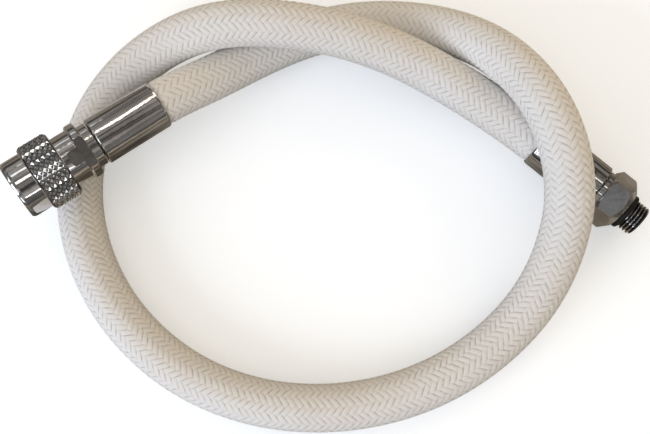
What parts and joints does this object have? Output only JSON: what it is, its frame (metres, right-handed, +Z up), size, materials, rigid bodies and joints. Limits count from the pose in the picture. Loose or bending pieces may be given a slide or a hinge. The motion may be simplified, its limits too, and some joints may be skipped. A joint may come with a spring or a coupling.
{
  "type": "low-pressure regulator hose",
  "caption": "Braided low-pressure regulator hose lying in an open loop, with a ball-lock quick coupler on one end and a threaded port fitting on the other.",
  "frame": {"origin": "on the table, under the middle of the box round the two fittings", "axes": "+Z up from the table; +X from the coupler's side to the port fitting's side; +Y away from the near side of the loop"},
  "size_m": [0.1873, 0.1316, 0.0366],
  "materials": {
    "braid": "white braided textile jacket, two-over-two weave",
    "chrome": "polished chrome plate on turned brass",
    "steel": "bright stainless steel",
    "brass": "turned brass",
    "rubber": "black moulded rubber"
  },
  "bodies": {
    "hose": {"braided_hose": "braid", "coupler_ferrule": "chrome", "port_ferrule": "chrome", "hose_stem": "chrome", "coupler_barrel": "chrome", "port_fitting": "chrome", "sleeve_retaining_ring": "steel", "sleeve_spring": "steel", "valve_spring": "steel", "valve_core": "brass", "plug_o_ring": "rubber", "stem_o_ring": "rubber", "port_o_ring": "rubber"},
    "sleeve": {"knurled_sleeve": "chrome"},
    "pin": {"valve_pin": "brass", "valve_seal": "rubber"},
    "ball_1": {"locking_ball_1": "steel"},
    "ball_2": {"locking_ball_2": "steel"},
    "ball_3": {"locking_ball_3": "steel"},
    "ball_4": {"locking_ball_4": "steel"},
    "ball_5": {"locking_ball_5": "steel"},
    "ball_6": {"locking_ball_6": "steel"}
  },
  "joints": [
    {"name": "sleeve_slide", "type": "slide", "parent": "hose", "child": "sleeve", "axis": [0.7901, 0.5847, -0.184], "range_m": [0, 0.004], "stiffness_N_per_m": 700, "springref_m": -0.003, "deforming": ["sleeve_spring"]},
    {"name": "pin_slide", "type": "slide", "parent": "hose", "child": "pin", "axis": [0.7901, 0.5847, -0.184], "range_m": [0, 0.0015], "stiffness_N_per_m": 300, "springref_m": -0.002, "deforming": ["valve_spring"]},
    {"name": "ball_1_slide", "type": "slide", "parent": "hose", "child": "ball_1", "axis": [0.0796, 0.1997, 0.9766], "range_m": [0, 0.0006]},
    {"name": "ball_2_slide", "type": "slide", "parent": "hose", "child": "ball_2", "axis": [-0.4865, 0.7808, 0.3919], "range_m": [0, 0.0006]},
    {"name": "ball_3_slide", "type": "slide", "parent": "hose", "child": "ball_3", "axis": [-0.5661, 0.5811, -0.5847], "range_m": [0, 0.0006]},
    {"name": "ball_4_slide", "type": "slide", "parent": "hose", "child": "ball_4", "axis": [-0.0796, -0.1997, -0.9766], "range_m": [0, 0.0006]},
    {"name": "ball_5_slide", "type": "slide", "parent": "hose", "child": "ball_5", "axis": [0.4865, -0.7808, -0.3919], "range_m": [0, 0.0006]},
    {"name": "ball_6_slide", "type": "slide", "parent": "hose", "child": "ball_6", "axis": [0.5661, -0.5811, 0.5847], "range_m": [0, 0.0006]}
  ],
  "couplings": [
    {"joint": "ball_1_slide", "follows": "sleeve_slide", "ratio": 0.15},
    {"joint": "ball_2_slide", "follows": "sleeve_slide", "ratio": 0.15},
    {"joint": "ball_3_slide", "follows": "sleeve_slide", "ratio": 0.15},
    {"joint": "ball_4_slide", "follows": "sleeve_slide", "ratio": 0.15},
    {"joint": "ball_5_slide", "follows": "sleeve_slide", "ratio": 0.15},
    {"joint": "ball_6_slide", "follows": "sleeve_slide", "ratio": 0.15}
  ]
}
